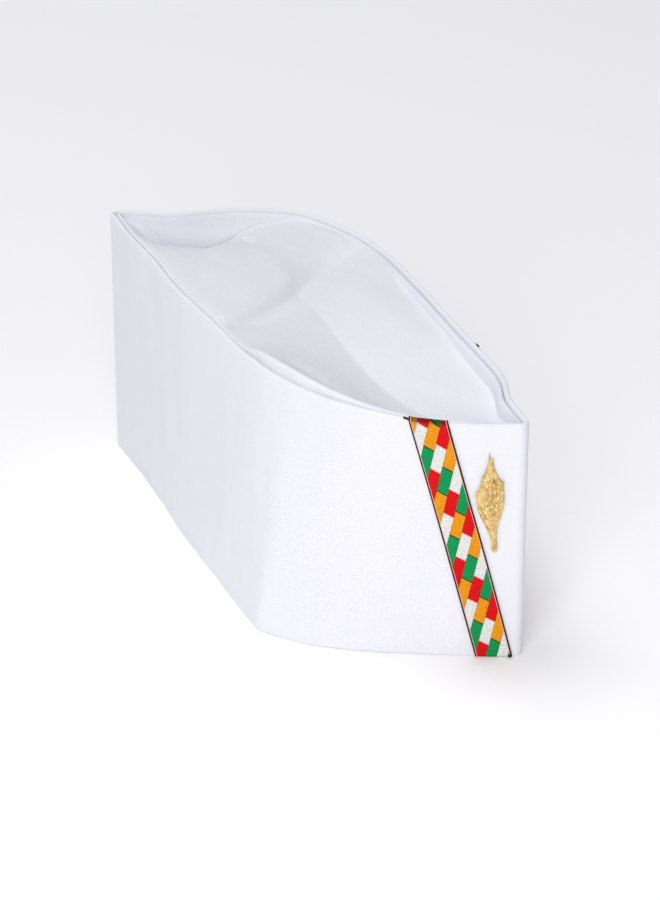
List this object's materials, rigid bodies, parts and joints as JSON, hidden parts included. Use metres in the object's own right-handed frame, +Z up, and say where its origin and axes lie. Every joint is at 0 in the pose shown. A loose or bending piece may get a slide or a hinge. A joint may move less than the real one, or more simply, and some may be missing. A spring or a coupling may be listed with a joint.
{
  "type": "folding cap",
  "caption": "White cotton folding cap, boat-shaped, with a sunken creased crown, slanting woven ribbons and a pressed brass leaf badge by the front fold.",
  "frame": {"origin": "middle of the footprint box, on the plane that the hem stands on", "axes": "+Z up; -Y towards the front fold, where the leaf badge is; +Y towards the back fold; +X towards the wearer's left"},
  "size_m": [0.1306, 0.2526, 0.1056],
  "materials": {
    "band_cotton": "white cotton twill, pressed",
    "crown_cotton": "white cotton twill, creased",
    "woven_ribbon": "satin weave in red, orange, green and off-white blocks with dark brown selvedges",
    "badge_brass": "pressed, pale gold, satin",
    "clutch_steel": "plain"
  },
  "bodies": {
    "root": {"band": "band_cotton", "crown": "crown_cotton", "ribbon_right": "woven_ribbon", "ribbon_left": "woven_ribbon", "leaf_badge": "badge_brass", "badge_clutch": "clutch_steel"}
  },
  "joints": []
}
